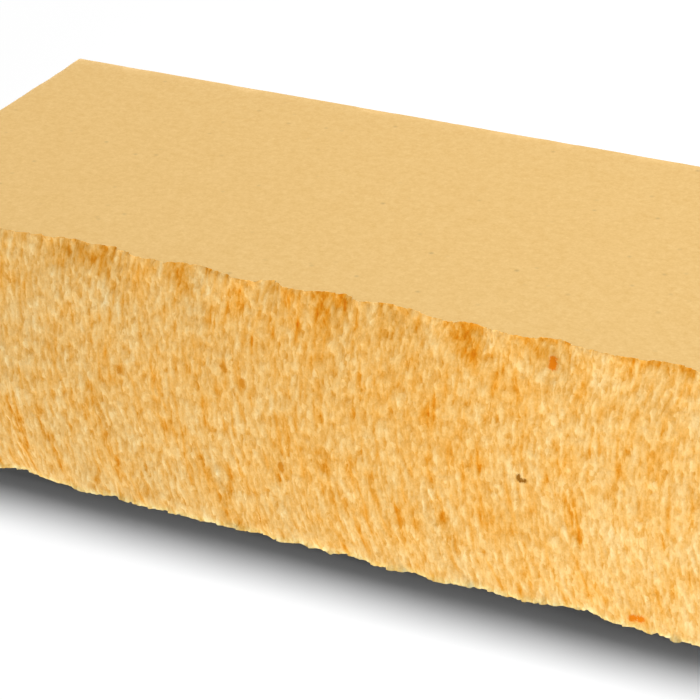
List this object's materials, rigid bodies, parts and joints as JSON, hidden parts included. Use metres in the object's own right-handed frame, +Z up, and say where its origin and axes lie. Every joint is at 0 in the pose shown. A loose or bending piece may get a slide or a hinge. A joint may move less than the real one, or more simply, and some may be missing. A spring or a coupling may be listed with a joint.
{
  "type": "sand-lime facing brick",
  "caption": "Solid pressed sand-lime facing brick with smooth beds, ends and back and one long face split rough, for bonded facing masonry.",
  "frame": {"origin": "on the lower bed, under the middle of the brick's bounding box", "axes": "+X along the brick, +Y from the split face towards the back, +Z up from the lower bed to the upper bed"},
  "size_m": [0.25, 0.099, 0.065],
  "materials": {
    "sand_lime": "matte"
  },
  "bodies": {
    "root": {"brick": "sand_lime"}
  },
  "joints": []
}
